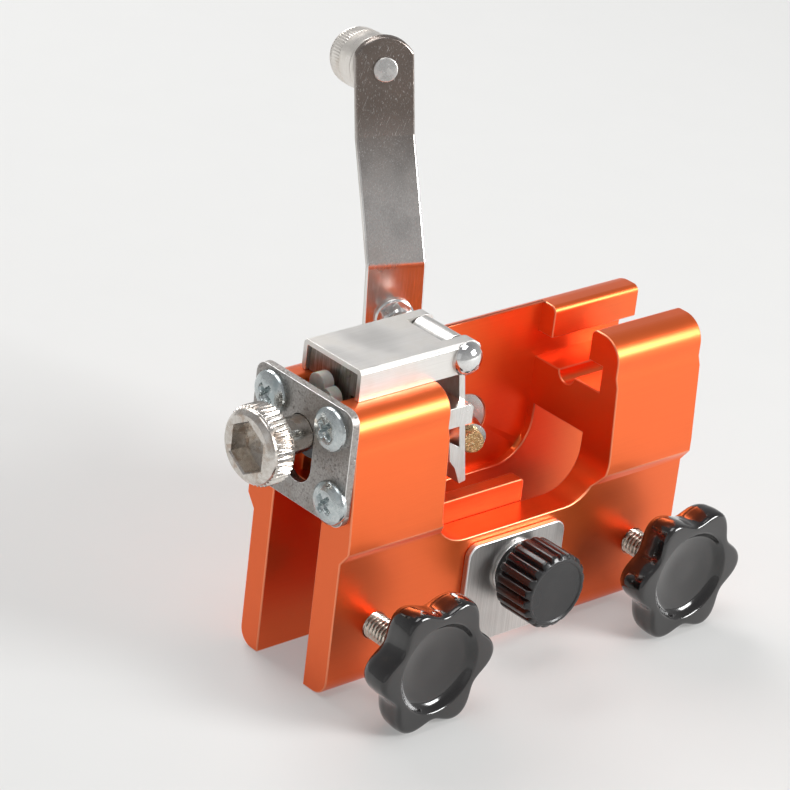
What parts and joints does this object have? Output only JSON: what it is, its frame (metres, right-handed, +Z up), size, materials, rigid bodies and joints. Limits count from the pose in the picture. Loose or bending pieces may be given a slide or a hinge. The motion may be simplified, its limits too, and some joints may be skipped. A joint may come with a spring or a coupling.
{
  "type": "manual chainsaw sharpener",
  "caption": "Clamp-on guide body with a hand-cranked abrasive rod, a screw-fed carriage with a pawl, two clamp knobs and a height stop.",
  "frame": {"origin": "middle of the body's underside, on the mid-plane of the guide slot", "axes": "+X along the guide slot, away from the adjusting screw; -Y towards the clamp knobs; +Z up"},
  "size_m": [0.1202, 0.1375, 0.1023],
  "materials": {
    "orange_anodised": "satin orange anodised",
    "plate_steel": "blasted sheet steel",
    "zinc_screw": "bright zinc",
    "nylon": "translucent nylon",
    "bushing_steel": "turned steel",
    "knurled_steel": "knurled steel, slightly tarnished",
    "spring_steel": "black spring steel",
    "channel_aluminium": "pale satin",
    "slide_steel": "milled",
    "pin_chrome": "polished",
    "pawl_steel": "pale satin",
    "shaft_steel": "turned steel",
    "burr_grit": "abrasive grit",
    "black_oxide": "black oxide",
    "nut_steel": "bright zinc",
    "arm_stainless": "tumbled stainless",
    "roller_aluminium": "turned, pale",
    "pad_steel": "turned",
    "thread_zinc": "bright zinc thread",
    "star_plastic": "gloss black",
    "stop_stainless": "brushed stainless",
    "knob_black": "satin black"
  },
  "bodies": {
    "frame": {"body": "orange_anodised", "end_plate": "plate_steel", "end_plate_screws": "zinc_screw", "nylon_keeper": "nylon", "guide_bushing": "bushing_steel"},
    "left_pad": {"clamp_pad_left": "pad_steel"},
    "left_clamp": {"clamp_screw_left": "thread_zinc", "star_knob_left": "star_plastic"},
    "right_pad": {"clamp_pad_right": "pad_steel"},
    "right_clamp": {"clamp_screw_right": "thread_zinc", "star_knob_right": "star_plastic"},
    "height_stop": {"stop_plate": "stop_stainless", "stop_block": "orange_anodised", "stop_stud": "thread_zinc"},
    "stop_seat": {"stop_washer": "shaft_steel"},
    "stop_nut": {"stop_knob": "knob_black"},
    "adjuster": {"adjuster_screw": "knurled_steel", "adjuster_retaining_ring": "spring_steel"},
    "carriage": {"carriage_channel": "channel_aluminium", "slide_block": "slide_steel", "pawl_pin": "pin_chrome"},
    "pawl": {"pawl": "pawl_steel"},
    "shaft_guide": {"thrust_washer": "shaft_steel"},
    "crank": {"drive_shaft": "shaft_steel", "burr": "burr_grit", "burr_grub_screw": "black_oxide", "hub_nut": "nut_steel", "hub_outer_nut": "nut_steel", "crank_arm": "arm_stainless", "grip_rivet": "nut_steel"},
    "grip": {"grip_roller": "roller_aluminium"}
  },
  "joints": [
    {"name": "left_clamp_feed", "type": "slide", "parent": "frame", "child": "left_pad", "axis": [0, 1, 0], "range_m": [-0.0015, 0.005]},
    {"name": "left_clamp_turn", "type": "hinge", "parent": "left_pad", "child": "left_clamp", "pos_m": [-0.038, -0.02, 0.0145], "axis": [0, 1, 0], "range_deg": [-541, 1801]},
    {"name": "right_clamp_feed", "type": "slide", "parent": "frame", "child": "right_pad", "axis": [0, 1, 0], "range_m": [-0.0035, 0.005]},
    {"name": "right_clamp_turn", "type": "hinge", "parent": "right_pad", "child": "right_clamp", "pos_m": [0.038, -0.02, 0.0145], "axis": [0, 1, 0], "range_deg": [-1261, 1801]},
    {"name": "stop_height", "type": "slide", "parent": "frame", "child": "height_stop", "axis": [0, 0, 1], "range_m": [-0.002, 0.002]},
    {"name": "stop_loosen", "type": "slide", "parent": "height_stop", "child": "stop_seat", "axis": [0, -1, 0], "range_m": [0, 0.003]},
    {"name": "stop_knob_turn", "type": "hinge", "parent": "stop_seat", "child": "stop_nut", "pos_m": [0, -0.02, 0.0192], "axis": [0, -1, 0], "range_deg": [-1, 1081]},
    {"name": "carriage_feed", "type": "slide", "parent": "frame", "child": "carriage", "axis": [1, 0, 0], "range_m": [0, 0.007]},
    {"name": "adjuster_turn", "type": "hinge", "parent": "frame", "child": "adjuster", "pos_m": [-0.06, 0, 0.057], "axis": [1, 0, 0], "range_deg": [-2017, 1]},
    {"name": "pawl_swing", "type": "hinge", "parent": "carriage", "child": "pawl", "pos_m": [-0.016, 0, 0.06995], "axis": [0, -1, 0], "range_deg": [0, 60]},
    {"name": "crank_slide", "type": "slide", "parent": "frame", "child": "shaft_guide", "axis": [0.4226, 0.9063, 0], "range_m": [0, 0.025]},
    {"name": "crank_turn", "type": "hinge", "parent": "shaft_guide", "child": "crank", "pos_m": [0.02728, 0.06, 0.0414], "axis": [0.4226, 0.9063, 0], "continuous": true},
    {"name": "grip_spin", "type": "hinge", "parent": "crank", "child": "grip", "pos_m": [0.03259, 0.07802, 0.09483], "axis": [0.4215, 0.874, -0.2416], "continuous": true}
  ],
  "couplings": [
    {"joint": "left_clamp_turn", "follows": "left_clamp_feed", "rad_per_m": 6283.2},
    {"joint": "right_clamp_turn", "follows": "right_clamp_feed", "rad_per_m": 6283.2},
    {"joint": "stop_knob_turn", "follows": "stop_loosen", "rad_per_m": 6283.2},
    {"joint": "adjuster_turn", "follows": "carriage_feed", "rad_per_m": -5026.5}
  ]
}
